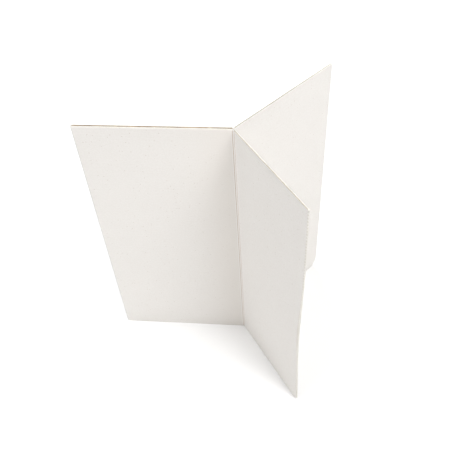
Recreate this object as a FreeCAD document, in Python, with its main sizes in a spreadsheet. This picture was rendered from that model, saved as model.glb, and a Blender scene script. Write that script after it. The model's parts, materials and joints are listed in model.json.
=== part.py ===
import FreeCAD, Part
import math
import os

# Free-standing three-leaf folding divider stand for magazines and files.
# One blank of fluted board, folded F | L front | L rear | R: the two middle panels
# are folded back to back and glued, and make the left leaf; the two end panels are
# the front leaf and the rear leaf, each on its own vertical crease at the spine.
# Units mm. +Z up, floor at z = 0. The left leaf runs along -X from the spine.
# The origin is the centre of the whole object's plan box, on the floor.

os.makedirs("parts", exist_ok=True)
doc = FreeCAD.newDocument("divider_stand")

# ------------------------------------------------------------------ sizes
SIZES = [
    ("leaf_height", 280.0, "height of every leaf"),
    ("left_width", 132.0, "spine line to the outer fold's nose"),
    ("rear_width", 119.0, "spine line to the rear leaf's cut end"),
    ("front_width", 102.5, "spine line to the front leaf's cut end"),
    ("liner", 0.25, "thickness of a liner sheet"),
    ("ply", 1.5, "thickness of one ply of board"),
    ("glue", 0.1, "thickness of the glue film between the left leaf's plies"),
    ("bond_gap", 0.01, "bond line between a flute's crest and its liner"),
    ("medium_sheet", 0.2, "thickness of the fluted medium's own sheet"),
    ("flute_count", 81, "whole flutes over the height"),
    ("rear_corner", 11.5, "radius of the rear leaf's die-cut bottom corner"),
    ("front_corner", 4.5, "radius of the front leaf's die-cut bottom corner"),
    ("score_half", 0.85, "half the distance between a crease's two score lines"),
    ("hinge_gap", 0.1, "from the board's concave face to the folding axis"),
    ("bead_dip", 0.45, "how far the crease bead is pressed in"),
    ("rear_angle", 49.0, "rear leaf, degrees from the left leaf's line"),
    ("front_angle", 55.2, "front leaf, degrees from the left leaf's line"),
]
sheet = doc.addObject("Spreadsheet::Sheet", "Sizes")
for row, (alias, value, words) in enumerate(SIZES, start=1):
    sheet.set("A%d" % row, alias)
    sheet.set("B%d" % row, repr(float(value)))
    sheet.set("C%d" % row, words)
    sheet.setAlias("B%d" % row, alias)
doc.recompute()


def S(alias):
    return float(sheet.get(alias))


def E(text):
    """An expression with every alias written as Sizes.alias."""
    out = text
    for alias, _, _ in sorted(SIZES, key=lambda r: -len(r[0])):
        out = out.replace("{" + alias + "}", "Sizes." + alias)
    return out


def N(text):
    """The same expression as a number, for the sketch's first positions."""
    out = text
    for alias, value, _ in SIZES:
        out = out.replace("{" + alias + "}", "(%r)" % float(value))
    return number(out)


def number(text):
    """A small calculator for + - * / ( ) sin cos with degrees written as (x * 1 deg)."""
    tokens = []
    i = 0
    while i < len(text):
        ch = text[i]
        if ch == " ":
            i += 1
        elif ch.isdigit() or ch == ".":
            j = i
            while j < len(text) and (text[j].isdigit() or text[j] in ".e" or (text[j] == "-" and text[j - 1] == "e")):
                j += 1
            tokens.append(float(text[i:j]))
            i = j
        elif ch.isalpha():
            j = i
            while j < len(text) and text[j].isalpha():
                j += 1
            tokens.append(text[i:j])
            i = j
        else:
            tokens.append(ch)
            i += 1
    at = [0]

    def peek():
        return tokens[at[0]] if at[0] < len(tokens) else None

    def take():
        at[0] += 1
        return tokens[at[0] - 1]

    def atom():
        t = take()
        if t == "(":
            v = total()
            take()
            return v
        if t == "-":
            return -atom()
        if t in ("sin", "cos"):
            take()
            v = total()
            take()
            return math.sin(v) if t == "sin" else math.cos(v)
        if peek() == "deg":
            take()
            return math.radians(t)
        return t

    def product():
        v = atom()
        while peek() in ("*", "/"):
            if take() == "*":
                v *= atom()
            else:
                v /= atom()
        return v

    def total():
        v = product()
        while peek() in ("+", "-"):
            if take() == "+":
                v += product()
            else:
                v -= product()
        return v

    return total()


# ------------------------------------------------------------------ helpers
ORIGIN_POINT = (-1, 1)


def plane(body, role):
    for feature in body.Origin.OriginFeatures:
        if feature.Role == role:
            return feature
    raise RuntimeError("no plane " + role)


def plan_sketch(body, outline):
    """A closed plan section on the body's XY plane.

    outline: list of (x, y, centre) where x and y are expressions for a corner, and
    centre is None for a straight side to the next corner, or (cx, cy, ccw, fixed)
    for an arc about that centre. fixed names the one centre ordinate that has to be
    held ("x" or "y"), because the two corners already hold the rest.
    """
    sketch = body.newObject("Sketcher::SketchObject", body.Name + "_plan")
    sketch.AttachmentSupport = [(plane(body, "XY_Plane"), "")]
    sketch.MapMode = "FlatFace"
    import Sketcher

    count = len(outline)
    ends = []
    for k in range(count):
        x0, y0, centre = outline[k]
        x1, y1, _ = outline[(k + 1) % count]
        a = FreeCAD.Vector(N(x0), N(y0), 0)
        b = FreeCAD.Vector(N(x1), N(y1), 0)
        if centre is None:
            sketch.addGeometry(Part.LineSegment(a, b), False)
            ends.append((k, 1, 2))
        else:
            cx, cy, ccw, _ = centre
            c = FreeCAD.Vector(N(cx), N(cy), 0)
            radius = (a - c).Length
            p, q = (a, b) if ccw else (b, a)
            t0 = math.atan2(p.y - c.y, p.x - c.x)
            t1 = math.atan2(q.y - c.y, q.x - c.x)
            if t1 <= t0:
                t1 += 2 * math.pi
            circle = Part.Circle(c, FreeCAD.Vector(0, 0, 1), radius)
            sketch.addGeometry(Part.ArcOfCircle(circle, t0, t1), False)
            ends.append((k, 1, 2) if ccw else (k, 2, 1))
    for k in range(count):
        g0, _, last = ends[k]
        g1, first, _ = ends[(k + 1) % count]
        sketch.addConstraint(Sketcher.Constraint("Coincident", g0, last, g1, first))
    for k in range(count):
        x0, y0, _ = outline[k]
        g, first, _ = ends[k]
        for kind, words in (("DistanceX", x0), ("DistanceY", y0)):
            i = sketch.addConstraint(Sketcher.Constraint(kind, ORIGIN_POINT[0], ORIGIN_POINT[1], g, first, N(words)))
            sketch.setExpression("Constraints[%d]" % i, E(words))
    for k in range(count):
        centre = outline[k][2]
        if centre is not None:
            cx, cy, _, fixed = centre
            kind, words = ("DistanceX", cx) if fixed == "x" else ("DistanceY", cy)
            i = sketch.addConstraint(Sketcher.Constraint(kind, ORIGIN_POINT[0], ORIGIN_POINT[1], k, 3, N(words)))
            sketch.setExpression("Constraints[%d]" % i, E(words))
    return sketch


def upright(name, outline, corner=None):
    """A sheet standing on its plan section, over the leaf's whole height.

    corner: None, or (the plan x of the cut end, the radius) for a rounded bottom corner.
    """
    body = doc.addObject("PartDesign::Body", name)
    body.Label = name
    sketch = plan_sketch(body, outline)
    pad = body.newObject("PartDesign::Pad", name + "_pad")
    pad.Profile = sketch
    pad.Type = "Length"
    pad.Length = S("leaf_height")
    pad.setExpression("Length", E("{leaf_height}"))
    sketch.Visibility = False
    doc.recompute()
    if corner is not None:
        wanted = None
        for i, edge in enumerate(pad.Shape.Edges, start=1):
            box = edge.BoundBox
            at = S(corner[0])
            if box.ZMax < 1e-6 and abs(box.XMin - at) < 1e-4 and abs(box.XMax - at) < 1e-4:
                wanted = "Edge%d" % i
        if wanted is None:
            raise RuntimeError("no bottom corner on " + name)
        fillet = body.newObject("PartDesign::Fillet", name + "_corner")
        fillet.Base = (pad, [wanted])
        fillet.Radius = S(corner[1])
        fillet.setExpression("Radius", E("{" + corner[1] + "}"))
        doc.recompute()
        if not fillet.Shape.Volume < pad.Shape.Volume - 1e-3:
            raise RuntimeError("the corner of %s was not cut" % name)
    return body


def fluted(name, x0, x1, v_mid, crest, corner=None):
    """The fluted medium of one ply: a thin sheet waved over the height.

    Arcs of one radius alternate, tangent where they meet. The wave starts and ends
    on a crest on the outer liner's side, so both cut edges are level.
    crest is +1 or -1, the side of that first crest. corner is as in upright.
    """
    height = S("leaf_height")
    pitch = height / S("flute_count")
    sheet_t = S("medium_sheet")
    depth = S("ply") - 2 * S("liner") - 2 * S("bond_gap")
    amp = (depth - sheet_t) / 2
    # the arc through crest and both inflections: half chord pitch/4, rise amp
    radius = ((pitch / 4) ** 2 + amp ** 2) / (2 * amp)
    theta = math.asin(pitch / 4 / radius)
    flat = radius - amp

    def side(offset):
        """Arcs along one face of the sheet, from the bottom to the top."""
        arcs = []
        n = int(S("flute_count"))
        for k in range(n):
            z = k * pitch
            pieces = [
                (-flat, z, radius + offset, 0.0, theta, 1),
                (flat, z + pitch / 2, radius - offset, theta, -theta, -1),
                (-flat, z + pitch, radius + offset, -theta, 0.0, 1),
            ]
            for cv, cz, r, t0, t1, way in pieces:
                pts = []
                for t in (t0, (t0 + t1) / 2, t1):
                    if way > 0:
                        v, zz = cv + r * math.cos(t), cz + r * math.sin(t)
                    else:
                        v, zz = cv - r * math.cos(t), cz - r * math.sin(t)
                    pts.append(FreeCAD.Vector(x0, v_mid + crest * v, zz))
                arcs.append(pts)
        return arcs

    outer, inner = side(sheet_t / 2), side(-sheet_t / 2)
    edges = [Part.Arc(*p).toShape() for p in outer]
    edges.append(Part.LineSegment(outer[-1][2], inner[-1][2]).toShape())
    edges += [Part.Arc(p[2], p[1], p[0]).toShape() for p in reversed(inner)]
    edges.append(Part.LineSegment(inner[0][0], outer[0][0]).toShape())
    wire = Part.Wire(Part.__sortEdges__(edges))
    ribbon = Part.Face(wire).extrude(FreeCAD.Vector(x1 - x0, 0, 0))
    if corner is not None:
        at, r = S(corner[0]), S(corner[1])
        block = Part.makeBox(r, 10, r, FreeCAD.Vector(at - r, v_mid - 5, 0))
        drum = Part.makeCylinder(r, 12, FreeCAD.Vector(at - r, v_mid - 6, r), FreeCAD.Vector(0, 1, 0))
        scrap = block.cut(drum)
        ribbon = ribbon.cut(scrap)
        solids = sorted(ribbon.Solids, key=lambda s: -s.Volume)
        ribbon = solids[0]
    feature = doc.addObject("Part::Feature", name)
    feature.Label = name
    feature.Shape = ribbon
    return feature


# ------------------------------------------------------------------ left leaf
# The outer liner: one sheet round the nose of the outer fold, front face and rear face.
half = "({glue} / 2 + {ply})"
inner_face = "({glue} / 2)"
nose = "(-{left_width} + {glue} / 2 + {ply})"
end = "(-{score_half})"
left_outer = upright("left_outer_liner", [
    (end, "-" + half, None),
    (end, "(-" + half + " + {liner})", None),
    (nose, "(-" + half + " + {liner})", (nose, "0", False, "x")),
    (nose, "(" + half + " - {liner})", None),
    (end, "(" + half + " - {liner})", None),
    (end, half, None),
    (nose, half, (nose, "0", True, "x")),
    (nose, "-" + half, None),
])

# The inner liner: folded tight on itself, its two faces held by the glue film.
left_inner = upright("left_inner_liner", [
    (end, "(-" + inner_face + " - {liner})", None),
    (end, "-" + inner_face, None),
    (nose, "-" + inner_face, (nose, "0", False, "x")),
    (nose, inner_face, None),
    (end, inner_face, None),
    (end, "(" + inner_face + " + {liner})", None),
    (nose, "(" + inner_face + " + {liner})", (nose, "0", True, "x")),
    (nose, "(-" + inner_face + " - {liner})", None),
])

# The glue film between the two plies.
glue_film = upright("glue_film", [
    (end, "-" + inner_face, None),
    (end, inner_face, None),
    (nose, inner_face, None),
    (nose, "-" + inner_face, None),
])

mid = S("glue") / 2 + S("ply") / 2
left_front_medium = fluted("left_front_medium", N(nose), N(end), -mid, -1)
left_rear_medium = fluted("left_rear_medium", N(nose), N(end), mid, 1)

# ------------------------------------------------------------------ spine creases
# Each leaf folds about the line just outside the board's concave face. In that leaf's
# own frame the axis is x = 0, y = 0, and its ply lies from hinge_gap to
# hinge_gap + ply on the convex side.
axis_y = "({glue} / 2 + {ply} + {hinge_gap})"
AXIS_Y = N(axis_y)


def crease(prefix, angle, way):
    """The bead on the concave side and the liner wrapped over the convex side.

    way is -1 at the front fold and +1 at the rear fold. The plan is drawn for the
    front fold and mirrored for the rear one.
    """
    sn = "sin({" + angle + "} * 1 deg)"
    cs = "cos({" + angle + "} * 1 deg)"

    def turned(u, v):
        """A point of the leaf's own frame, in the stand's frame, y measured from the spine."""
        x = "(" + u + " * " + cs + " + " + v + " * " + sn + ")"
        y = "(-" + axis_y + " - " + u + " * " + sn + " + " + v + " * " + cs + ")"
        return x, y

    def put(point, centre=None):
        x, y = point
        if way > 0:
            y = "(0 - " + y + ")"
        return (x, y, centre)

    rad_out = "({ply} + {hinge_gap})"
    rad_in = "({ply} + {hinge_gap} - {liner})"
    cx, cy = "0", "(0 - " + axis_y + ")" if way < 0 else axis_y
    first = ("(0 - {score_half})", "(0 - {glue} / 2)")
    first_in = ("(0 - {score_half})", "(0 - {glue} / 2 - {liner})")
    b_out = ("0", "(0 - {glue} / 2)")
    b_in = ("0", "(0 - {glue} / 2 - {liner})")
    c_out, c_in = turned("0", rad_out), turned("0", rad_in)
    d_out, d_in = turned("{score_half}", rad_out), turned("{score_half}", rad_in)
    ccw = way > 0
    wrap = [
        put(first),
        put(b_out, (cx, cy, ccw, "x")),
        put(c_out),
        put(d_out),
        put(d_in),
        put(c_in, (cx, cy, not ccw, "x")),
        put(b_in),
        put(first_in),
    ]
    upright(prefix + "_crease_wrap", wrap)

    near, near_in = "{hinge_gap}", "({hinge_gap} + {liner})"
    d1o = ("(0 - {score_half})", "(0 - {glue} / 2 - {ply})")
    d1i = ("(0 - {score_half})", "(0 - {glue} / 2 - {ply} + {liner})")
    d2o, d2i = turned("{score_half}", near), turned("{score_half}", near_in)
    hs = "sin({" + angle + "} * 0.5 deg)"
    hc = "cos({" + angle + "} * 0.5 deg)"

    def dip(a, b, lift):
        """Half way between two points, pressed in by bead_dip along the fold's bisector."""
        x = "((" + a[0] + " + " + b[0] + ") / 2 + " + lift + " * " + hs + ")"
        y = "((" + a[1] + " + " + b[1] + ") / 2 + " + lift + " * " + hc + ")"
        return x, y

    bead = [
        put(d1o),
        put(dip(d1o, d2o, "{bead_dip}")),
        put(d2o),
        put(d2i),
        put(dip(d1i, d2i, "{bead_dip}")),
        put(d1i),
    ]
    upright(prefix + "_crease_bead", bead)


crease("front", "front_angle", -1)
crease("rear", "rear_angle", 1)

# ------------------------------------------------------------------ front and rear leaves


def leaf(prefix, width, corner, way):
    """One ply in its own frame, x from the folding axis outwards.

    way is +1 where the ply lies on +y of the axis (front leaf) and -1 on -y (rear leaf).
    """
    sg = "" if way > 0 else "0 - "
    start, stop = "{score_half}", "{" + width + "}"

    def rect(a, b):
        ya, yb = "(" + sg + a + ")", "(" + sg + b + ")"
        return [(start, ya, None), (stop, ya, None), (stop, yb, None), (start, yb, None)]

    made = [
        upright(prefix + "_outer_liner", rect("{hinge_gap}", "({hinge_gap} + {liner})"), (width, corner)),
        upright(prefix + "_inner_liner", rect("({hinge_gap} + {ply} - {liner})", "({hinge_gap} + {ply})"), (width, corner)),
        fluted(prefix + "_medium", S("score_half"), S(width), way * (S("hinge_gap") + S("ply") / 2), -way, (width, corner)),
    ]
    return made


front_pieces = leaf("front_leaf", "front_width", "front_corner", 1)
rear_pieces = leaf("rear_leaf", "rear_width", "rear_corner", -1)
doc.recompute()

# ------------------------------------------------------------------ places
Z = FreeCAD.Vector(0, 0, 1)
left_names = [
    "left_outer_liner", "left_inner_liner", "glue_film", "left_front_medium", "left_rear_medium",
    "front_crease_wrap", "front_crease_bead", "rear_crease_wrap", "rear_crease_bead",
]


def places(shift):
    for name in left_names:
        doc.getObject(name).Placement = FreeCAD.Placement(shift, FreeCAD.Rotation(Z, 0))
    for piece in front_pieces:
        piece.Placement = FreeCAD.Placement(
            shift + FreeCAD.Vector(0, -AXIS_Y, 0), FreeCAD.Rotation(Z, -S("front_angle")))
    for piece in rear_pieces:
        piece.Placement = FreeCAD.Placement(
            shift + FreeCAD.Vector(0, AXIS_Y, 0), FreeCAD.Rotation(Z, S("rear_angle")))
    doc.recompute()


# First from the spine, then shifted so that the origin is the plan box's centre.
places(FreeCAD.Vector(0, 0, 0))
pieces = [doc.getObject(n) for n in left_names] + front_pieces + rear_pieces
box = FreeCAD.BoundBox()
for piece in pieces:
    box.add(piece.Shape.optimalBoundingBox(False, False))
centre = FreeCAD.Vector(-(box.XMin + box.XMax) / 2, -(box.YMin + box.YMax) / 2, 0)
centre = FreeCAD.Vector(round(centre.x, 3), round(centre.y, 3), 0)
places(centre)

# ------------------------------------------------------------------ tests and export
for obj in doc.Objects:
    if "Invalid" in obj.State or "Error" in obj.State:
        raise RuntimeError("%s is %s" % (obj.Label, obj.State))
for piece in pieces:
    shape = piece.Shape
    if shape.isNull() or not shape.isValid() or len(shape.Solids) != 1 or shape.Volume <= 0:
        raise RuntimeError("%s has no sound solid" % piece.Label)
for piece in pieces:
    piece.Shape.exportStep(os.path.join("parts", piece.Label + ".step"))
    b = piece.Shape.BoundBox
    print("%-20s volume %9.1f  x %8.3f %8.3f  y %8.3f %8.3f  z %7.3f %7.3f  faces %d" % (
        piece.Label, piece.Shape.Volume, b.XMin, b.XMax, b.YMin, b.YMax, b.ZMin, b.ZMax, len(piece.Shape.Faces)))
print("spine line at x %.3f y %.3f; folding axes at y %.3f (front) and %.3f (rear)" % (
    centre.x, centre.y, centre.y - AXIS_Y, centre.y + AXIS_Y))
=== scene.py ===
import json
import math

import bmesh
import bpy
import numpy as np
from mathutils import Matrix, Vector, noise


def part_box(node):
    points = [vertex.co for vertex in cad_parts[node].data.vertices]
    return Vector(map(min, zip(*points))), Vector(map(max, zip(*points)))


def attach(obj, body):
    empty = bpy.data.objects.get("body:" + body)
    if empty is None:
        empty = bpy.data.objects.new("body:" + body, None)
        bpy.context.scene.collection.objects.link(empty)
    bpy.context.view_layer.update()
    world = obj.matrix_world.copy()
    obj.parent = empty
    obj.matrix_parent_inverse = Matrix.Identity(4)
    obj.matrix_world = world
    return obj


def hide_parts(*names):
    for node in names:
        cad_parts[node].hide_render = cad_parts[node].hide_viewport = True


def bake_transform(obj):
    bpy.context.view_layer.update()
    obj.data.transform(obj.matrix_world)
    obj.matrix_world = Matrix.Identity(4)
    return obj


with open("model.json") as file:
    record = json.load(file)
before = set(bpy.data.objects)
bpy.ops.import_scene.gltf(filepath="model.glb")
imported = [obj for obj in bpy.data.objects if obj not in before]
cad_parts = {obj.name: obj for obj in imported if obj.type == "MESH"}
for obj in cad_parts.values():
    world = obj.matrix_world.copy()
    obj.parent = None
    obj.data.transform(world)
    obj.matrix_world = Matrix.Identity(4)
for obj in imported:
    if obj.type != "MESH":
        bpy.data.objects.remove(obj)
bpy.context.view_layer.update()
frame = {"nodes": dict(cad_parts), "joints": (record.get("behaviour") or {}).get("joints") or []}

# ------------------------------------------------------------------ sizes, in millimetres
JOINTS = {j["name"]: j for j in frame["joints"]}
PF = [c * 1000 for c in JOINTS["front_leaf_fold"]["pos_m"]]
PR = [c * 1000 for c in JOINTS["rear_leaf_fold"]["pos_m"]]
SX = PF[0]
SY = (PF[1] + PR[1]) / 2
AY = (PR[1] - PF[1]) / 2          # folding axes, from the spine line
GLUE, LIN = 0.1, 0.25
GAP = 0.1                         # folding axis to the concave face
PLY = AY - GAP - GLUE / 2
SC = 0.85                         # score lines, either side of the fold
HALF = GLUE / 2 + PLY
LO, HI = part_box("left_outer_liner")
H = (HI[2] - LO[2]) * 1000
WL = SX - LO[0] * 1000
WF, WR = 102.5, 119.0
AF, AR = math.radians(55.2), math.radians(49.0)
FLUTES = 81
P = H / FLUTES
RC_F, RC_R = 4.5, 11.5            # die-cut bottom corners
BACK = 1.15                       # front leaf's outer liner, pressed back from the upright cut
MM = 0.001


def hash_noise(x, y, z=0.0):
    return noise.noise(Vector((x, y, z)))


def smooth(t):
    t = np.clip(t, 0.0, 1.0)
    return t * t * (3 - 2 * t)


def front_plan(u, v):
    """Front leaf's own frame to the row's plan."""
    c, s = math.cos(AF), math.sin(AF)
    return SX + u * c + v * s, SY - AY - u * s + v * c


def rear_plan(u, v):
    """Rear leaf's own frame to the row's plan; v is measured towards the convex side."""
    c, s = math.cos(AR), math.sin(AR)
    return SX + u * c + v * s, SY + AY + u * s - v * c


# ------------------------------------------------------------------ warp of the leaves
WARP_Z = np.array([0, 23, 63, 99, 116, 132, 163, 191, 204, 230, 255, 280], float)
WARP_D = np.array([0, 0.72, 1.75, 2.5, 2.8, 2.6, 1.6, 0.7, 0.35, 0.08, 0.0, 0.0], float)
_z = np.linspace(-30, 310, 681)
_d = np.interp(_z, WARP_Z, WARP_D)
_k = np.exp(-0.5 * (np.arange(-30, 31) / 12.0) ** 2)
_d = np.convolve(_d, _k / _k.sum(), mode="same")


def front_warp(u, z):
    """How far the front leaf has bent out of flat, towards its front bay."""
    edge = np.interp(z, _z, _d)
    share = np.clip((u - 2.0) / (WF - 2.0), 0, 1) ** 1.7
    return edge * share


def wave(seed, u, z, amp=0.10):
    """Slow waviness of a hand-folded board, none at the spine."""
    n = hash_noise(u / 47.0, z / 55.0, seed) + 0.5 * hash_noise(u / 21.0, z / 26.0, seed + 9.1)
    return amp * n * float(smooth((u - 3.0) / 25.0))


# ------------------------------------------------------------------ mesh helpers
def finish_mesh(name, verts, faces, marks=None, sharp=38.0):
    me = bpy.data.meshes.new(name)
    me.from_pydata([tuple(c * MM for c in v) for v in verts], [], faces)
    me.validate()
    for key, value in (marks or {}).items():
        at = me.attributes.new(key, "FLOAT", "POINT")
        at.data.foreach_set("value", np.asarray(value, np.float32))
    bm = bmesh.new()
    bm.from_mesh(me)
    bmesh.ops.recalc_face_normals(bm, faces=bm.faces)
    for e in bm.edges:
        if len(e.link_faces) == 2:
            e.smooth = e.calc_face_angle(0.0) < math.radians(sharp)
        else:
            e.smooth = False
    for f in bm.faces:
        f.smooth = True
    bm.to_mesh(me)
    bm.free()
    ob = bpy.data.objects.new(name, me)
    bpy.context.scene.collection.objects.link(ob)
    return ob


def slab(name, front, back, marks=None):
    """A closed sheet from two grids of points, front[i][j] and back[i][j]."""
    nu, nz = front.shape[0], front.shape[1]
    n = nu * nz
    verts = np.concatenate([front.reshape(-1, 3), back.reshape(-1, 3)])
    faces = []
    for i in range(nu - 1):
        for j in range(nz - 1):
            a, b, c, d = i * nz + j, (i + 1) * nz + j, (i + 1) * nz + j + 1, i * nz + j + 1
            faces.append((a, b, c, d))
            faces.append((n + d, n + c, n + b, n + a))
    for j in range(nz - 1):
        a, b = j, j + 1
        faces.append((a, b, n + b, n + a))
        a, b = (nu - 1) * nz + j, (nu - 1) * nz + j + 1
        faces.append((b, a, n + a, n + b))
    for i in range(nu - 1):
        a, b = i * nz, (i + 1) * nz
        faces.append((b, a, n + a, n + b))
        a, b = i * nz + nz - 1, (i + 1) * nz + nz - 1
        faces.append((a, b, n + b, n + a))
    both = {k: np.concatenate([w.reshape(-1), w.reshape(-1)]) for k, w in (marks or {}).items()}
    return finish_mesh(name, verts, faces, both)


# rows of a liner: four to a flute, and a finer set at the top and bottom cut edges
R_LIP = 0.32
E_LIP = 0.36
LIP = [(0.0, 0.0), (0.2, 0.0), (0.4, 0.0), (0.6, 0.0), (0.8, 0.0), (1.0, 0.0), (1.0, 0.5), (1.0, 1.0)]


def liner_rows():
    rows = []                      # (z, None) or (z0, lip step) with sign
    for k in range(len(LIP) - 1, 0, -1):
        rows.append(("bottom", LIP[k]))
    step = P / 4
    n = int(round(H / step))
    for k in range(n + 1):
        z = k * step
        if z > R_LIP + 0.25 and z < H - R_LIP - 0.25:
            rows.append(("mid", z))
        elif abs(z) < 1e-9:
            rows.append(("mid", R_LIP))
        elif abs(z - H) < 1e-9:
            rows.append(("mid", H - R_LIP))
    for k in range(1, len(LIP)):
        rows.append(("top", LIP[k]))
    return rows


ROWS = liner_rows()


def lip_shape(step, lam, e=E_LIP, r=R_LIP):
    """Offset inwards and height of a liner's two faces, for a lip curled by lam (0 straight, 1 rolled over)."""
    a, ext = step
    phi = a * math.pi / 2
    curled_o = (r * (1 - math.cos(phi)) + ext * e, r * math.sin(phi))
    curled_i = (r - (r - LIN) * math.cos(phi) + ext * e, (r - LIN) * math.sin(phi))
    t = (a * 0.7 + ext * 0.3) * r
    straight_o, straight_i = (0.0, t), (LIN, t)
    mix = lambda p, q: (p[0] * (1 - lam) + q[0] * lam, p[1] * (1 - lam) + q[1] * lam)
    return mix(straight_o, curled_o), mix(straight_i, curled_i)


def corner_map(u, z, width, r):
    """Moves a point of a rectangular grid onto a leaf whose bottom outer corner is rounded."""
    if r <= 0 or u <= width - r or z >= r:
        return u, z
    a, b = (u - (width - r)) / r, (r - z) / r
    return width - r + r * a * math.sqrt(1 - b * b / 2), r - r * b * math.sqrt(1 - a * a / 2)


def groove(d):
    """Depth of a score line's furrow and the low ridge beside it, by distance from the line."""
    return 0.16 * math.exp(-((d / 0.20) ** 2)) - 0.20 * math.exp(-(((abs(d) - 0.85) / 0.42) ** 2))


# ------------------------------------------------------------------ columns of a liner
# A column is (plan x, plan y, inward normal x, y, leaf, u, crush): leaf names the field of
# waviness, u is the distance from the spine, and score is the distance from a score line.
def spread(a, b, first, grow=1.35, most=4.0):
    """Positions from a to b, close together at a and wider apart further on."""
    out, step, at = [a], first, a
    way = 1 if b > a else -1
    while abs(b - at) > step * 1.3:
        at += way * step
        out.append(at)
        step = min(step * grow, most)
    out.append(b)
    return out


def two_ends(a, b, first, last, most=4.0):
    """Positions from a to b, close together at both ends."""
    left = spread(a, (a + b) / 2, first, most=most)
    right = spread(b, (a + b) / 2, last, most=most)
    return left + right[::-1][1:]


def leaf_cols(leaf, width, v, inward, score=True, start=SC, last=0.25):
    """Columns of a single-ply leaf from the crease outwards."""
    plan = front_plan if leaf == "front" else rear_plan
    o = plan(0, 0)
    n = plan(0, inward)
    nx, ny = n[0] - o[0], n[1] - o[1]
    cols = []
    for u in two_ends(start, width, 0.09, last):
        x, y = plan(u, v)
        cols.append(dict(x=x, y=y, nx=nx, ny=ny, leaf=leaf, u=u, width=width, score=(u - SC) if score else 99.0, lam=0.0))
    return cols


def left_cols(side, v, inward, score=True, start=None, stop=None):
    """Columns of the left leaf from the outer fold's tangent to the crease, on the front (-1) or rear (+1) ply."""
    cols = []
    nose_x = WL - HALF
    for a in two_ends(stop if stop is not None else SC, start if start is not None else nose_x, 0.09, 0.6)[::-1]:
        cols.append(dict(x=SX - a, y=SY + side * v, nx=0.0, ny=-side * inward, leaf="left", u=a, width=WL,
                         score=(a - SC) if score else 99.0, lam=0.0))
    return cols


def put_columns(name, cols, thick=LIN, crush=0.06, corner=0.0, rib=0.012, rib_phase=0.0, nose_rib=0.0):
    nz = len(ROWS)
    front = np.zeros((len(cols), nz, 3))
    back = np.zeros((len(cols), nz, 3))
    wear = np.zeros((len(cols), nz))
    score = np.zeros((len(cols), nz))
    ridge = np.zeros((len(cols), nz))
    fold = np.zeros((len(cols), nz))
    lip = np.zeros((len(cols), nz))
    soil = np.zeros((len(cols), nz))
    for i, c in enumerate(cols):
        for j, (kind, val) in enumerate(ROWS):
            lam = c["lam"] if kind == "top" else (c.get("lam_low", 0.0) if kind == "bottom" else 0.0)
            if kind == "mid":
                z = val
                (of, zf), (ob, zb) = (0.0, z), (thick, z)
            else:
                (of, dz1), (ob, dz2) = lip_shape(val, lam, c.get("ext", E_LIP))
                if kind == "top":
                    zf, zb = H - R_LIP + dz1, H - R_LIP + dz2
                    z = H
                else:
                    zf, zb = R_LIP - dz1, R_LIP - dz2
                    z = 0.0
            u = c["u"]
            ends = []
            for off, zz in ((of, zf), (ob, zb)):
                uu, z2 = (u, zz) if corner <= 0 else corner_map(u, zz, c["width"], corner)
                ends.append((off, uu, z2))
            z_mid = ends[0][2]
            extra = rib * (0.5 - 0.5 * math.cos(2 * math.pi * z_mid / P + rib_phase)) * float(smooth((c["score"]) / 3.0))
            extra += nose_rib * c.get("nose", 0.0) * (0.5 - 0.5 * math.cos(2 * math.pi * z_mid / P))
            near = min(z_mid, H - z_mid, (c["width"] - u) if c["leaf"] != "left" else 99.0)
            extra += crush * float(smooth(1 - near / 1.4))
            if c["score"] < 6:
                extra += groove(c["score"]) * (1 + 0.25 * hash_noise(3.1, z_mid / 9.0, c["x"] * 0.3))
            if c["leaf"] == "front":
                extra += c["sign"] * front_warp(u, z_mid)
                extra += c["sign"] * wave(3.7, u, z_mid)
            elif c["leaf"] == "rear":
                extra += c["sign"] * wave(11.3, u, z_mid, 0.14)
            elif c["leaf"] == "left" and not c.get("nose"):
                extra += c["sign"] * wave(23.9, u, z_mid, 0.14) * float(smooth((WL - 4 - u) / 20.0))
            # paper's own unevenness, a few hundredths of a millimetre
            extra += 0.012 * hash_noise(c["x"] / 2.3, c["y"] / 2.3, z_mid / 2.3)
            for grid, (off, uu, zz) in ((front, ends[0]), (back, ends[1])):
                x, y = c["x"], c["y"]
                if corner > 0 and uu != u:
                    plan = front_plan if c["leaf"] == "front" else rear_plan
                    a, b = plan(uu, 0), plan(u, 0)
                    x, y = x + a[0] - b[0], y + a[1] - b[1]
                # the cut end is a touch uneven
                if c["leaf"] != "left" and u > c["width"] - 1e-6:
                    plan = front_plan if c["leaf"] == "front" else rear_plan
                    cut = 0.05 * hash_noise(zz / 1.7, c["nx"] * 3, 5.5) - 0.03
                    a, b = plan(cut, 0), plan(0, 0)
                    x, y = x + a[0] - b[0], y + a[1] - b[1]
                grid[i, j] = (x + c["nx"] * (off + extra), y + c["ny"] * (off + extra), zz)
            if c["leaf"] in ("front", "rear"):
                ridge[i, j] = float(smooth(1 - (c["width"] - u) / 0.7)) if c["leaf"] == "rear" else 0.0
            if kind != "mid":
                a_, e_ = val
                wear[i, j] = (1 - lam) * max(0.0, a_ - 0.5) * 2
                lip[i, j] = lam * a_
            d = c.get("line", c["score"])
            # a score line's furrow gets painted shade, and the ridge beside it a painted highlight
            if d < 3:
                score[i, j] = math.exp(-((d / 0.20) ** 2))
                ridge[i, j] = max(ridge[i, j], math.exp(-(((d - 0.75) / 0.35) ** 2)))
            # painted shade: a warm, darker tint on the left leaf's front face near the spine, where the front leaf
            # shades it
            if c["leaf"] == "left" and c["sign"] > 0 and c["score"] < 90:
                soil[i, j] = math.exp(-((c["score"] / 30.0) ** 2))
            # painted shade on the outer fold round the nose, where it turns away from the key light
            fold[i, j] = c.get("nose", 0.0) if c.get("nose", 0.0) > 0.02 else 0.0
    return slab(name, front, back, {"wear": wear, "score": score, "ridge": ridge, "fold": fold, "lip": lip, "soil": soil})


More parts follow.
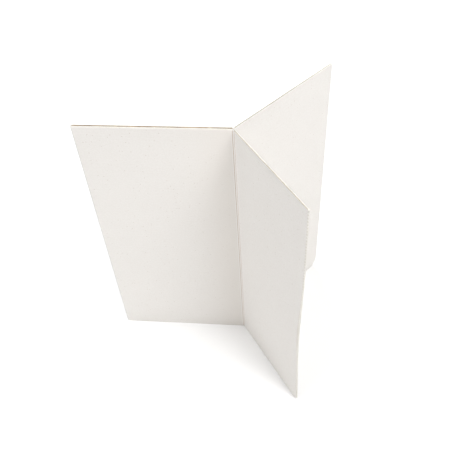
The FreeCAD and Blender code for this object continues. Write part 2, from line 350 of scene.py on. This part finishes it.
def crease_cols(side, n=17):
    """Columns across a crease's pressed-in bead, from the left leaf's score line to the other leaf's."""
    plan = front_plan if side < 0 else rear_plan
    d1 = (SX - SC, SY + side * HALF)
    d2 = plan(SC, GAP)
    o, q = plan(0, 0), plan(0, 1)
    n1 = (0.0, -side * 1.0)
    n2 = (q[0] - o[0], q[1] - o[1])
    cols = []
    length = math.hypot(d2[0] - d1[0], d2[1] - d1[1])
    for k in range(1, n):
        t = k / n
        nx, ny = n1[0] * (1 - t) + n2[0] * t, n1[1] * (1 - t) + n2[1] * t
        m = math.hypot(nx, ny)
        nx, ny = nx / m, ny / m
        d = min(t, 1 - t) * length
        dip = 0.16 * math.exp(-((d / 0.20) ** 2)) - 0.16 * math.exp(-(((d - 0.78) / 0.34) ** 2))
        x = d1[0] * (1 - t) + d2[0] * t + nx * dip
        y = d1[1] * (1 - t) + d2[1] * t + ny * dip
        cols.append(dict(x=x, y=y, nx=nx, ny=ny, leaf="crease", u=0.0, width=999.0, score=99.0, line=d, lam=0.9, sign=0.0))
    return cols


def wrap_cols(side, start=None):
    """Columns of the inner liner over a crease's convex side, from the left leaf's line to the other leaf's."""
    ang = AF if side < 0 else AR
    cols = []
    for a in (0.85, 0.6, 0.35, 0.12):
        cols.append(dict(x=SX - a, y=SY + side * GLUE / 2, nx=0.0, ny=side * 1.0))
    r = PLY + GAP
    cx, cy = SX, SY + side * AY
    steps = 10
    for k in range(steps + 1):
        t = ang * k / steps
        # outward direction from the folding axis, turning from the spine's line to the leaf's
        dx, dy = math.sin(t), -side * math.cos(t)
        cols.append(dict(x=cx + r * dx, y=cy + r * dy, nx=-dx, ny=-dy))
    plan = front_plan if side < 0 else rear_plan
    o, q = plan(0, 0), plan(0, 1)
    for u in (0.3, 0.6):
        x, y = plan(u, r)
        cols.append(dict(x=x, y=y, nx=-(q[0] - o[0]), ny=-(q[1] - o[1])))
    for c in cols:
        c.update(leaf="crease", u=0.0, width=999.0, score=99.0, lam=0.5, sign=0.0)
    return cols


# ------------------------------------------------------------------ outer liner, front half
# One sheet: front leaf, crease, left leaf's front, round the nose, left leaf's rear.
front_face = leaf_cols("front", WF - BACK, GAP, 1)
for c in front_face:
    c["sign"], c["lam"] = -1.0, 0.05
left_front_face = left_cols(-1, HALF, 1)
for c in left_front_face:
    c["sign"], c["lam"] = 1.0, 0.95
nose = []
for k in range(1, 16):
    t = math.pi * 1.5 - math.pi * k / 16
    dx, dy = math.cos(t), math.sin(t)
    flat = 1.0 + 0.02 * math.cos(4 * t)
    nose.append(dict(x=SX - WL + HALF + HALF * dx * flat, y=SY + HALF * dy, nx=-dx, ny=-dy, leaf="left", u=WL, width=WL,
                     score=99.0, lam=0.8, nose=math.sin(math.pi * k / 16) ** 0.7, sign=0.0))
left_rear_face = left_cols(1, HALF, 1)
for c in left_rear_face:
    c["sign"], c["lam"] = -1.0, 0.05
crease_front = crease_cols(-1)
for c in crease_front:
    c["sign"] = 0.0
cols = front_face[::-1] + crease_front[::-1] + left_front_face[::-1] + nose + left_rear_face
outer_front = put_columns("outer_liner_front", cols, corner=0.0, nose_rib=0.07)


def round_corner(ob, leaf, width, r):
    """Trims a leaf's bottom outer corner to its die-cut radius by drawing the grid in."""
    me = ob.data
    plan = front_plan if leaf == "front" else rear_plan
    o, q = plan(0, 0), plan(1, 0)
    ax, ay = q[0] - o[0], q[1] - o[1]
    for v in me.vertices:
        x, y, z = v.co.x / MM, v.co.y / MM, v.co.z / MM
        u = (x - o[0]) * ax + (y - o[1]) * ay
        side = (y - SY) < 0
        if side != (leaf == "front") or u <= width - r or z >= r:
            continue
        uu, zz = corner_map(min(u, width), max(z, 0.0), width, r)
        v.co.x += (uu - min(u, width)) * ax * MM
        v.co.y += (uu - min(u, width)) * ay * MM
        v.co.z += (zz - max(z, 0.0)) * MM
    me.update()


round_corner(outer_front, "front", WF - BACK, RC_F)

# ------------------------------------------------------------------ outer liner, rear half
rear_face = leaf_cols("rear", WR, GAP, 1)
for c in rear_face:
    c["sign"], c["lam"] = -1.0, 0.10
crease_rear = crease_cols(1)
outer_rear = put_columns("outer_liner_rear", crease_rear + rear_face)
round_corner(outer_rear, "rear", WR, RC_R)

# ------------------------------------------------------------------ inner liner, front half
# Front leaf's inner face, the wrap over the crease, and the left leaf's folded inner sheet.
front_in = leaf_cols("front", WF, GAP + PLY, -1, score=False)
for c in front_in:
    c["sign"], c["lam"], c["ext"] = 1.0, 0.95, 0.12
left_in_front = left_cols(-1, GLUE / 2, -1, score=False, stop=SC + 0.25)
for c in left_in_front:
    c["sign"], c["lam"] = -1.0, 0.95
inner_nose = []
for k in range(1, 8):
    t = math.pi * 1.5 - math.pi * k / 8
    dx, dy = math.cos(t), math.sin(t)
    inner_nose.append(dict(x=SX - WL + HALF + GLUE / 2 * dx, y=SY + GLUE / 2 * dy, nx=dx, ny=dy, leaf="left", u=WL, width=WL,
                           score=99.0, lam=0.0, nose=0.01, sign=0.0))
left_in_rear = left_cols(1, GLUE / 2, -1, score=False)
for c in left_in_rear:
    c["sign"], c["lam"] = 1.0, 0.15
inner_front = put_columns(
    "inner_liner_front", front_in[::-1] + wrap_cols(-1)[::-1] + left_in_front[::-1] + inner_nose + left_in_rear[:-1], rib_phase=math.pi)
round_corner(inner_front, "front", WF, RC_F)

rear_in = leaf_cols("rear", WR, GAP + PLY, -1, score=False)
for c in rear_in:
    c["sign"], c["lam"], c["ext"] = 1.0, 0.95, 0.12
inner_rear = put_columns("inner_liner_rear", wrap_cols(1) + rear_in, rib_phase=math.pi)
round_corner(inner_rear, "rear", WR, RC_R)


# ------------------------------------------------------------------ fluted medium of the single-ply leaves
def flutes(name, leaf, width, radius, warped):
    plan = front_plan if leaf == "front" else rear_plan
    per = 10
    nz = FLUTES * per + 1
    us = two_ends(SC, width - 2.4, 0.6, 0.35, most=8.0)
    depth = PLY - 2 * LIN - 0.02
    t2 = 0.10
    amp = depth / 2 - t2
    a = np.zeros((len(us), nz, 3))
    b = np.zeros((len(us), nz, 3))
    wear = np.zeros((len(us), nz))
    for i, u in enumerate(us):
        for j in range(nz):
            z = j * P / per
            ph = 2 * math.pi * z / P
            mid = GAP + PLY / 2 - amp * math.cos(ph)
            slope = amp * math.sin(ph) * 2 * math.pi / P
            m = math.hypot(1.0, slope)
            nv, nzz = 1.0 / m, -slope / m
            top = width - 2.4
            if radius > 0 and z < radius:
                top = width - 2.4 - radius + math.sqrt(max(radius ** 2 - (radius - max(z, 0.02)) ** 2, 0.0))
            uu = SC + (u - SC) * (top - SC) / (width - 2.4 - SC)
            w = (front_warp(uu, z) + wave(3.7, uu, z)) if leaf == "front" else wave(11.3, uu, z, 0.14)
            squeeze = 1 - 0.10 * float(smooth(1 - min(z, H - z, top - uu) / 1.4))
            for grid, sign in ((a, 1), (b, -1)):
                v = GAP + PLY / 2 + (mid + sign * t2 * nv - GAP - PLY / 2) * squeeze - w
                zz = min(max(z + sign * t2 * nzz, 0.0), H)
                x, y = plan(uu, v)
                grid[i, j] = (x, y, zz)
            wear[i, j] = 1.0 if i >= len(us) - 2 else 0.0
    return slab(name, a, b, {"wear": wear})


front_flutes = flutes("front_leaf_flutes", "front", WF, RC_F, True)
rear_flutes = flutes("rear_leaf_flutes", "rear", WR, RC_R, False)


# ------------------------------------------------------------------ crushed flute along the top and bottom cuts
def cut_edge(name, leaf, side, width, v0, v1, top, seed, rough=0.16, sink=0.06, gaps=0.5, u0=SC):
    """The strip of flute that a horizontal cut leaves between the two liners, squashed and ragged.

    v0 and v1 are measured through the ply from its outer face.
    """
    us = np.arange(u0, width + 0.001, 0.45)
    nv = 7
    depth = 1.3
    top_grid = np.zeros((len(us), nv, 3))
    low_grid = np.zeros((len(us), nv, 3))
    wear = np.zeros((len(us), nv))
    fade = np.zeros((len(us), nv))
    for i, u in enumerate(us):
        for k in range(nv):
            f = k / (nv - 1)
            v = v0 + (v1 - v0) * f
            ragged = rough * (hash_noise(u / 0.8, v / 0.5, seed) + 0.6 * hash_noise(u / 0.35, v / 0.3, seed + 4))
            hollow = gaps * max(0.0, hash_noise(u / 7.0, 0.3 * f, seed + 21) - 0.05) * math.sin(math.pi * f)
            h = sink + abs(ragged) + hollow
            if leaf == "left":
                x, y = SX - u, SY + side * (HALF - v)
                w = wave(23.9, u, H if top else 0.0, 0.14) * float(smooth((WL - 4 - u) / 20.0))
                y += w
            else:
                plan = front_plan if leaf == "front" else rear_plan
                w = (front_warp(u, H if top else 0.0) + wave(3.7, u, H if top else 0.0)) if leaf == "front" else wave(11.3, u, H if top else 0.0, 0.14)
                x, y = plan(u, GAP + v - w)
            zt, zl = (H - h, H - depth) if top else (h, depth)
            top_grid[i, k] = (x, y, zt)
            low_grid[i, k] = (x, y, zl)
            wear[i, k] = 1.0
            fade[i, k] = 0.85 * float(smooth((u - 60.0) / 45.0)) if leaf == "rear" else 0.0
    return slab(name, top_grid, low_grid, {"wear": wear, "pit": fade})


nose_in = WL - HALF + 0.9
edges = []
for top in (True, False):
    tag = "top" if top else "bottom"
    low_f, low_r = (0.0, 0.0) if top else (RC_F, RC_R)
    edges.append((cut_edge("left_front_ply_%s_cut" % tag, "left", -1, nose_in, 0.16, 1.36, top, 1.3, sink=0.02, rough=0.05, gaps=0.05), "left_leaf"))
    edges.append((cut_edge("left_rear_ply_%s_cut" % tag, "left", 1, nose_in, 0.30, 1.62, top, 5.9, sink=0.0, rough=0.10), "left_leaf"))
    edges.append((cut_edge("front_leaf_%s_cut" % tag, "front", -1, WF - BACK - 0.7 - low_f, 0.14, 1.22, top, 8.3, sink=0.05), "front_leaf"))
    edges.append((cut_edge("rear_leaf_%s_cut" % tag, "rear", 1, WR - 0.3 - low_r, 0.14, 1.22, top, 12.7, sink=0.05), "rear_leaf"))


# ------------------------------------------------------------------ flute ends along the outer upright cuts
def end_cut(name, leaf, width, radius, seed, back=0.0):
    """Flute ends left by the upright cut: a zigzag of medium between the liners, the cells pressed nearly shut."""
    plan = front_plan if leaf == "front" else rear_plan
    per, nv = 8, 9
    zs = np.arange(per * FLUTES + 1) * (P / per)
    zs = zs[(zs > radius * 0.35 + 0.4) & (zs < H - 0.2)]
    face = np.zeros((len(zs), nv, 3))
    rear = np.zeros((len(zs), nv, 3))
    pit = np.zeros((len(zs), nv))
    for i, z in enumerate(zs):
        at_u = width
        if z < radius:
            at_u = width - radius + math.sqrt(max(radius ** 2 - (radius - z) ** 2, 0.0))
        centre = 0.5 - 0.42 * math.cos(2 * math.pi * z / P)
        for k in range(nv):
            f = k / (nv - 1)
            cell = float(smooth((abs(f - centre) - 0.16) / 0.22))
            rag = 0.05 * hash_noise(z / 0.7, f * 3.0, seed)
            bevel = back * (1 - math.sqrt(max(0.0, 1 - (1 - f) ** 2)))
            depth = 0.04 + (0.26 if back == 0 else 0.12) * cell + 0.6 * abs(rag) + bevel
            low = LIN * 0.9 if back == 0 else 0.10
            v = GAP + low + (PLY - low - LIN * 0.9) * f
            w = (front_warp(at_u, z) + wave(3.7, at_u, z)) if leaf == "front" else wave(11.3, at_u, z, 0.14)
            x, y = plan(at_u - depth, v - w)
            face[i, k] = (x, y, z)
            x, y = plan(at_u - 1.1 - back, v - w)
            rear[i, k] = (x, y, z)
            # painted shade in the pressed flute cells, strongest on each cell's outer side
            pit[i, k] = cell * (0.35 if f < centre else 0.08)
    return slab(name, face, rear, {"wear": np.ones_like(pit), "pit": pit})


ends = [(end_cut("front_leaf_end_cut", "front", WF, RC_F, 3.3, BACK), "front_leaf"),
        (end_cut("rear_leaf_end_cut", "rear", WR, RC_R, 4.4), "rear_leaf")]


# ------------------------------------------------------------------ crushed board inside the creases
def crease_core(name, side):
    """The crushed flute between a crease's bead and its wrapped liner."""
    bead = crease_cols(side, 10)
    ang = AF if side < 0 else AR
    r = PLY + GAP - LIN - 0.02
    n, m = len(bead), 6
    rows = [0.25, 0.8, H * 0.25, H * 0.5, H * 0.75, H - 0.8, H - 0.25]
    grid = np.zeros((len(rows), n, m, 3))
    for i, c in enumerate(bead):
        t = ang * (i + 0.5) / n
        far = (SX + r * math.sin(t), SY + side * AY - side * r * math.cos(t))
        near = (c["x"] + c["nx"] * (LIN + 0.02), c["y"] + c["ny"] * (LIN + 0.02))
        for k in range(m):
            f = k / (m - 1)
            for j, z in enumerate(rows):
                rag = 0.14 * hash_noise(i * 0.9, k * 0.8, side * 3.0 + j) if j in (0, len(rows) - 1) else 0.0
                grid[j, i, k] = (near[0] * (1 - f) + far[0] * f, near[1] * (1 - f) + far[1] * f, z + rag)
    verts = grid.reshape(-1, 3)
    idx = lambda j, i, k: (j * n + i) * m + k
    faces = []
    for i in range(n - 1):
        for k in range(m - 1):
            faces.append((idx(0, i, k), idx(0, i + 1, k), idx(0, i + 1, k + 1), idx(0, i, k + 1)))
            e = len(rows) - 1
            faces.append((idx(e, i, k), idx(e, i, k + 1), idx(e, i + 1, k + 1), idx(e, i + 1, k)))
    for j in range(len(rows) - 1):
        for i in range(n - 1):
            for k in (0, m - 1):
                faces.append((idx(j, i, k), idx(j, i + 1, k), idx(j + 1, i + 1, k), idx(j + 1, i, k)))
        for k in range(m - 1):
            for i in (0, n - 1):
                faces.append((idx(j, i, k), idx(j, i, k + 1), idx(j + 1, i, k + 1), idx(j + 1, i, k)))
    return finish_mesh(name, verts, faces, {"wear": np.ones(len(verts))})


core_front = crease_core("front_crease_core", -1)
core_rear = crease_core("rear_crease_core", 1)


# ------------------------------------------------------------------ materials
def new_material(name):
    m = bpy.data.materials.new(name)
    m.use_nodes = True
    nt = m.node_tree
    for n in list(nt.nodes):
        nt.nodes.remove(n)
    out = nt.nodes.new("ShaderNodeOutputMaterial")
    bsdf = nt.nodes.new("ShaderNodeBsdfPrincipled")
    nt.links.new(bsdf.outputs["BSDF"], out.inputs["Surface"])
    return m, nt, bsdf


def node(nt, kind, **values):
    n = nt.nodes.new(kind)
    for k, v in values.items():
        if hasattr(n, k):
            setattr(n, k, v)
    return n


def math_node(nt, op, a, b=None, clamp=False):
    n = nt.nodes.new("ShaderNodeMath")
    n.operation = op
    n.use_clamp = clamp
    for i, v in enumerate((a, b)):
        if v is None:
            continue
        if hasattr(v, "default_value") or hasattr(v, "links"):
            nt.links.new(v, n.inputs[i])
        else:
            n.inputs[i].default_value = v
    return n.outputs[0]


def mix_colour(nt, fac, a, b):
    n = nt.nodes.new("ShaderNodeMix")
    n.data_type = "RGBA"
    n.clamp_factor = True
    if hasattr(fac, "links"):
        nt.links.new(fac, n.inputs[0])
    else:
        n.inputs[0].default_value = fac
    for v, i in ((a, 6), (b, 7)):
        if hasattr(v, "links"):
            nt.links.new(v, n.inputs[i])
        else:
            n.inputs[i].default_value = (*v, 1.0)
    return n.outputs[2]


def noise_tex(nt, vec, scale, detail=3.0, rough=0.55, stretch=None):
    if stretch is not None:
        mp = nt.nodes.new("ShaderNodeMapping")
        mp.inputs["Scale"].default_value = stretch
        nt.links.new(vec, mp.inputs["Vector"])
        vec = mp.outputs["Vector"]
    n = nt.nodes.new("ShaderNodeTexNoise")
    n.inputs["Scale"].default_value = scale
    n.inputs["Detail"].default_value = detail
    n.inputs["Roughness"].default_value = rough
    nt.links.new(vec, n.inputs["Vector"])
    return n.outputs["Fac"]


def srgb(r, g, b):
    out = []
    for c in (r, g, b):
        c = c / 255.0
        out.append(c / 12.92 if c <= 0.04045 else ((c + 0.055) / 1.055) ** 2.4)
    return tuple(out)


def mark(nt, key):
    at = nt.nodes.new("ShaderNodeAttribute")
    at.attribute_name = key
    return at.outputs["Fac"]


def paper(name, light, dark, speck, speck_amount, worn, bump=0.25, rough=(0.74, 0.9), flute_tone=0.35):
    """Uncoated paper: cloudy formation, fine fibre, sparse specks, a trace of the flutes, rubbed cut edges."""
    m, nt, bsdf = new_material(name)
    co = nt.nodes.new("ShaderNodeTexCoord").outputs["Object"]
    cloud = noise_tex(nt, co, 60.0, 3.0, 0.6)
    grain = noise_tex(nt, co, 700.0, 2.0, 0.6)
    fine = noise_tex(nt, co, 1900.0, 3.0, 0.65)
    fibre_v = noise_tex(nt, co, 1100.0, 2.0, 0.6, stretch=(1.0, 1.0, 0.28))
    fibre_h = noise_tex(nt, co, 1100.0, 2.0, 0.6, stretch=(0.28, 0.28, 1.0))
    fibre = math_node(nt, "MULTIPLY", math_node(nt, "ADD", fibre_v, fibre_h), 0.5)
    # trace of the flutes, one to each pitch of the height
    sep = nt.nodes.new("ShaderNodeSeparateXYZ")
    nt.links.new(co, sep.inputs[0])
    phase = math_node(nt, "MULTIPLY", sep.outputs["Z"], 2 * math.pi / (P * MM))
    ribs = math_node(nt, "COSINE", phase)
    tone = math_node(nt, "ADD", math_node(nt, "MULTIPLY", cloud, 0.10), math_node(nt, "MULTIPLY", grain, 0.42))
    tone = math_node(nt, "ADD", tone, math_node(nt, "MULTIPLY", fine, 0.30))
    tone = math_node(nt, "ADD", tone, math_node(nt, "MULTIPLY", fibre, 0.26))
    tone = math_node(nt, "ADD", tone, math_node(nt, "MULTIPLY", ribs, 0.02 * flute_tone))
    tone = math_node(nt, "MULTIPLY", math_node(nt, "SUBTRACT", tone, 0.40), 3.2, clamp=True)
    colour = mix_colour(nt, tone, dark, light)
    # specks: small flecks of fibre, few and far between
    for scale, reach, keep, amount in ((420.0, 0.20, 0.86, speck_amount), (190.0, 0.10, 0.92, speck_amount * 1.3)):
        vor = nt.nodes.new("ShaderNodeTexVoronoi")
        vor.feature = "F1"
        vor.inputs["Scale"].default_value = scale
        nt.links.new(co, vor.inputs["Vector"])
        dot = math_node(nt, "MULTIPLY", math_node(nt, "SUBTRACT", reach, vor.outputs["Distance"]), 12.0, clamp=True)
        sepc = nt.nodes.new("ShaderNodeSeparateColor")
        nt.links.new(vor.outputs["Color"], sepc.inputs[0])
        some = math_node(nt, "GREATER_THAN", sepc.outputs[0], keep)
        dot = math_node(nt, "MULTIPLY", math_node(nt, "MULTIPLY", dot, some), amount, clamp=True)
        colour = mix_colour(nt, dot, colour, speck)
    # score lines: painted shade, warm brown, in the furrow, and a painted highlight on the ridge beside it; painted
    # shade, cool grey, on the outer fold round the nose; painted warm shade near the spine
    colour = mix_colour(nt, math_node(nt, "MULTIPLY", mark(nt, "soil"), 0.6, clamp=True), colour, srgb(237, 231, 224))
    # painted highlight on the ridges beside the score lines; the same mark also lightens the rear leaf's last 0.7 mm
    # before its outer cut
    colour = mix_colour(nt, math_node(nt, "MULTIPLY", mark(nt, "ridge"), 0.9, clamp=True), colour, srgb(251, 249, 246))
    # painted shade in the score line's furrow, warm brown, broken up by the grain
    broken = math_node(nt, "MULTIPLY_ADD", grain, 1.1, clamp=True)
    broken.node.inputs[2].default_value = 0.15
    colour = mix_colour(nt, math_node(nt, "MULTIPLY", mark(nt, "score"), broken, clamp=True), colour, srgb(188, 152, 118))
    # painted shade, cool grey, on the outer fold
    colour = mix_colour(nt, math_node(nt, "MULTIPLY", mark(nt, "fold"), 0.55, clamp=True), colour, srgb(205, 207, 208))
    colour = mix_colour(nt, mark(nt, "lip"), colour, srgb(238, 236, 233))
    rub = math_node(nt, "MULTIPLY", mark(nt, "wear"), math_node(nt, "ADD", math_node(nt, "MULTIPLY", grain, 1.1), 0.35), clamp=True)
    colour = mix_colour(nt, rub, colour, worn)
    nt.links.new(colour, bsdf.inputs["Base Color"])
    r = nt.nodes.new("ShaderNodeMapRange")
    nt.links.new(fine, r.inputs["Value"])
    r.inputs["From Min"].default_value, r.inputs["From Max"].default_value = 0.3, 0.7
    r.inputs["To Min"].default_value, r.inputs["To Max"].default_value = rough
    nt.links.new(r.outputs["Result"], bsdf.inputs["Roughness"])
    height = math_node(nt, "ADD", math_node(nt, "MULTIPLY", fibre, 0.6), math_node(nt, "MULTIPLY", fine, 0.5))
    bp = nt.nodes.new("ShaderNodeBump")
    bp.inputs["Strength"].default_value = bump
    bp.inputs["Distance"].default_value = 0.00006
    nt.links.new(height, bp.inputs["Height"])
    nt.links.new(bp.outputs["Normal"], bsdf.inputs["Normal"])
    bsdf.inputs["Specular IOR Level"].default_value = 0.25
    bsdf.inputs["Sheen Weight"].default_value = 0.06
    bsdf.inputs["Sheen Roughness"].default_value = 0.6
    return m


def kraft(name, light, dark, pale, pale_share, bump=0.5, pit=(0.30, 0.26, 0.17), patches=120.0):
    """Bare fluting paper: brown fibre, patchy, with pale torn fibre along the cut."""
    m, nt, bsdf = new_material(name)
    co = nt.nodes.new("ShaderNodeTexCoord").outputs["Object"]
    cloud = noise_tex(nt, co, patches, 2.0, 0.6)
    patch = noise_tex(nt, co, 420.0, 3.0, 0.7)
    fibre = noise_tex(nt, co, 1800.0, 3.0, 0.7)
    tone = math_node(nt, "ADD", math_node(nt, "MULTIPLY", cloud, 0.6), math_node(nt, "MULTIPLY", patch, 0.6))
    tone = math_node(nt, "MULTIPLY", math_node(nt, "SUBTRACT", tone, 0.42), 2.8, clamp=True)
    colour = mix_colour(nt, tone, dark, light)
    torn = math_node(nt, "MULTIPLY", math_node(nt, "SUBTRACT", fibre, 1.0 - pale_share), 6.0, clamp=True)
    colour = mix_colour(nt, torn, colour, pale)
    # the pit mark: painted shade in the flute cells of the upright cuts; along the rear leaf's top and bottom cuts it
    # turns the edge paler further from the spine
    colour = mix_colour(nt, math_node(nt, "MULTIPLY", mark(nt, "pit"), 0.9, clamp=True), colour, pit)
    nt.links.new(colour, bsdf.inputs["Base Color"])
    r = nt.nodes.new("ShaderNodeMapRange")
    nt.links.new(fibre, r.inputs["Value"])
    r.inputs["To Min"].default_value, r.inputs["To Max"].default_value = 0.8, 0.97
    nt.links.new(r.outputs["Result"], bsdf.inputs["Roughness"])
    bp = nt.nodes.new("ShaderNodeBump")
    bp.inputs["Strength"].default_value = bump
    bp.inputs["Distance"].default_value = 0.0001
    nt.links.new(math_node(nt, "ADD", fibre, patch), bp.inputs["Height"])
    nt.links.new(bp.outputs["Normal"], bsdf.inputs["Normal"])
    bsdf.inputs["Specular IOR Level"].default_value = 0.2
    bsdf.inputs["Sheen Weight"].default_value = 0.05
    return m


OUTER = paper("white_liner_outer", srgb(243, 240, 236), srgb(235, 231, 226), srgb(186, 171, 154), 0.50, srgb(182, 173, 156))
INNER = paper("white_liner_inner", srgb(244, 241, 237), srgb(236, 232, 227), srgb(192, 178, 162), 0.46, srgb(190, 179, 160))
FLUTE = kraft("kraft_fluting", srgb(214, 200, 174), srgb(178, 160, 128), srgb(226, 216, 196), 0.42)
EDGE_BROWN = kraft("kraft_cut_edge", srgb(178, 157, 123), srgb(82, 57, 27), srgb(198, 184, 160), 0.30, patches=90.0)
EDGE_GREY = kraft("grey_cut_edge", srgb(219, 216, 211), srgb(190, 186, 178), srgb(231, 229, 225), 0.42)
EDGE_OLIVE = kraft("olive_cut_edge", srgb(160, 153, 138), srgb(122, 113, 94), srgb(178, 173, 160), 0.42, pit=srgb(226, 223, 216))
EDGE_WHITE = kraft("white_cut_edge", srgb(251, 250, 248), srgb(245, 243, 239), srgb(253, 252, 250), 0.50, bump=0.3)
EDGE_PALE = kraft("pale_cut_edge", srgb(245, 242, 237), srgb(234, 229, 221), srgb(249, 247, 243), 0.50, pit=srgb(200, 191, 172))
GLUE_M = kraft("dried_glue", srgb(222, 212, 188), srgb(200, 186, 156), srgb(235, 228, 210), 0.4)


def dress(ob, mat):
    ob.data.materials.clear()
    ob.data.materials.append(mat)


for ob, mat, slot_name in (
    (outer_front, OUTER, "outer_liner"), (outer_rear, OUTER, "outer_liner"),
    (inner_front, INNER, "inner_liner"), (inner_rear, INNER, "inner_liner"),
    (front_flutes, FLUTE, "fluting"), (rear_flutes, FLUTE, "fluting"),
    (core_front, EDGE_GREY, "fluting"), (core_rear, EDGE_GREY, "fluting"),
):
    dress(ob, mat)
for ob, body in edges:
    dress(ob, {"left_rear": EDGE_BROWN, "left_front": EDGE_WHITE, "rear_leaf": EDGE_OLIVE}.get("_".join(ob.name.split("_")[:2]), EDGE_GREY))
for ob, body in ends:
    dress(ob, EDGE_PALE)
for name, mat in (("left_front_medium", FLUTE), ("left_rear_medium", FLUTE), ("glue_film", GLUE_M)):
    for s in frame["nodes"][name].material_slots:
        s.material = mat

# ------------------------------------------------------------------ riding on the bodies
Z0 = 0.0


def at(p):
    return (p[0] * MM, p[1] * MM, Z0)


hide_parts("left_outer_liner", "front_crease_bead", "front_leaf_outer_liner")
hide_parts("rear_crease_bead", "rear_leaf_outer_liner")
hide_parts("left_inner_liner", "front_crease_wrap", "front_leaf_inner_liner")
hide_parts("rear_crease_wrap", "rear_leaf_inner_liner")
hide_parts("front_leaf_medium")
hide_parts("rear_leaf_medium")
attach(front_flutes, "front_leaf")
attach(rear_flutes, "rear_leaf")
for ob, body in edges + ends:
    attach(ob, body)
for ob, side, body in ((outer_front, -1, "front_leaf"), (outer_rear, 1, "rear_leaf"), (core_front, -1, "front_leaf"), (core_rear, 1, "rear_leaf")):
    plan = front_plan if side < 0 else rear_plan
    at(plan(SC, GAP))
    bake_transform(ob)
for ob, side, body in ((inner_front, -1, "front_leaf"), (inner_rear, 1, "rear_leaf")):
    plan = front_plan if side < 0 else rear_plan
    at(plan(0.5, GAP + PLY))
    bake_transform(ob)

# ------------------------------------------------------------------ floor, light, camera
bm = bmesh.new()
bmesh.ops.create_circle(bm, cap_ends=True, segments=96, radius=6.0)
me = bpy.data.meshes.new("floor")
bm.to_mesh(me)
bm.free()
floor = bpy.data.objects.new("floor", me)
floor.location = (0, 0, -0.00004)
bpy.context.scene.collection.objects.link(floor)
fm, fnt, fb = new_material("pale_floor")
fco = fnt.nodes.new("ShaderNodeTexCoord").outputs["Object"]
fn = noise_tex(fnt, fco, 9.0, 3.0)
fnt.links.new(mix_colour(fnt, fn, (0.965, 0.965, 0.965), (0.98, 0.98, 0.98)), fb.inputs["Base Color"])
fb.inputs["Roughness"].default_value = 0.9
fb.inputs["Specular IOR Level"].default_value = 0.1
floor.data.materials.append(fm)

AIM = Vector((0.0, 0.0, 0.12))
LIGHTS = [
    # name, azimuth from +X anticlockwise, elevation, distance, size, watts, colour
    ("key", -35.0, 47.0, 1.7, 0.9, 10.6, (1.0, 1.0, 1.0)),
    ("key_centre", -40.0, 48.0, 1.7, 0.4, 4.7, (1.0, 1.0, 1.0)),
    ("fill", -150.0, 45.0, 1.7, 0.9, 6.8, (1.0, 1.0, 1.0)),
    ("front", -120.0, 22.0, 1.7, 0.9, 0.8, (1.0, 1.0, 1.0)),
    ("rear", 120.0, 40.0, 1.7, 1.0, 13.4, (1.0, 1.0, 1.0)),
]
WORLD = 0.17
for name, az, el, dist, size, watts, colour in LIGHTS:
    ld = bpy.data.lights.new(name, "AREA")
    ld.shape = "DISK"
    ld.size = size
    ld.energy = watts
    ld.color = colour
    lo = bpy.data.objects.new(name, ld)
    a, e = math.radians(az), math.radians(el)
    lo.location = AIM + Vector((math.cos(a) * math.cos(e), math.sin(a) * math.cos(e), math.sin(e))) * dist
    lo.rotation_euler = (AIM - lo.location).to_track_quat("-Z", "Y").to_euler()
    bpy.context.scene.collection.objects.link(lo)
sun = bpy.data.lights.new("ceiling", "SUN")
sun.energy, sun.angle = 1.06, math.radians(50)
sun_ob = bpy.data.objects.new("ceiling", sun)
sun_ob.location = (0.0, 0.0, 2.0)
bpy.context.scene.collection.objects.link(sun_ob)
world = bpy.data.worlds.new("studio")
world.use_nodes = True
world.node_tree.nodes["Background"].inputs["Color"].default_value = (1.0, 1.0, 1.0, 1.0)
world.node_tree.nodes["Background"].inputs["Strength"].default_value = WORLD
bpy.context.scene.world = world

scene = bpy.context.scene
scene.view_settings.view_transform = "Standard"
scene.view_settings.look = "None"
scene.view_settings.exposure = 0.0
scene.view_settings.gamma = 1.0

# The camera: where it stands from the spine, and its turn, tilt and roll.
CAM_AT = Vector((44.299, -376.349, 592.054))
YAW, PITCH, ROLL = -7.31761, 46.61989, 3.65038
FOCAL_PX, PP_X, PP_Y = 620.995, 233.298, 206.744
y_, p_, r_ = (math.radians(v) for v in (YAW, PITCH, ROLL))
fw = Vector((math.sin(y_) * math.cos(p_), math.cos(y_) * math.cos(p_), -math.sin(p_)))
rt = Vector((math.cos(y_), -math.sin(y_), 0.0))
dn = fw.cross(rt)
r2 = rt * math.cos(r_) + dn * math.sin(r_)
d2 = dn * math.cos(r_) - rt * math.sin(r_)
cam_data = bpy.data.cameras.new("camera")
cam_data.sensor_fit = "HORIZONTAL"
cam_data.sensor_width = 36.0
cam_data.lens = FOCAL_PX / 452.0 * 36.0
cam_data.shift_x = -(PP_X - 226.0) / 452.0
cam_data.shift_y = (PP_Y - 226.0) / 452.0
cam_data.clip_start, cam_data.clip_end = 0.01, 50.0
cam_data.dof.use_dof = False
cam = bpy.data.objects.new("camera", cam_data)
m3 = Matrix((r2, -d2, -fw)).transposed()
cam.matrix_world = Matrix.Translation((CAM_AT + Vector((SX, SY, 0.0))) * MM) @ m3.to_4x4()
scene.collection.objects.link(cam)
scene.camera = cam
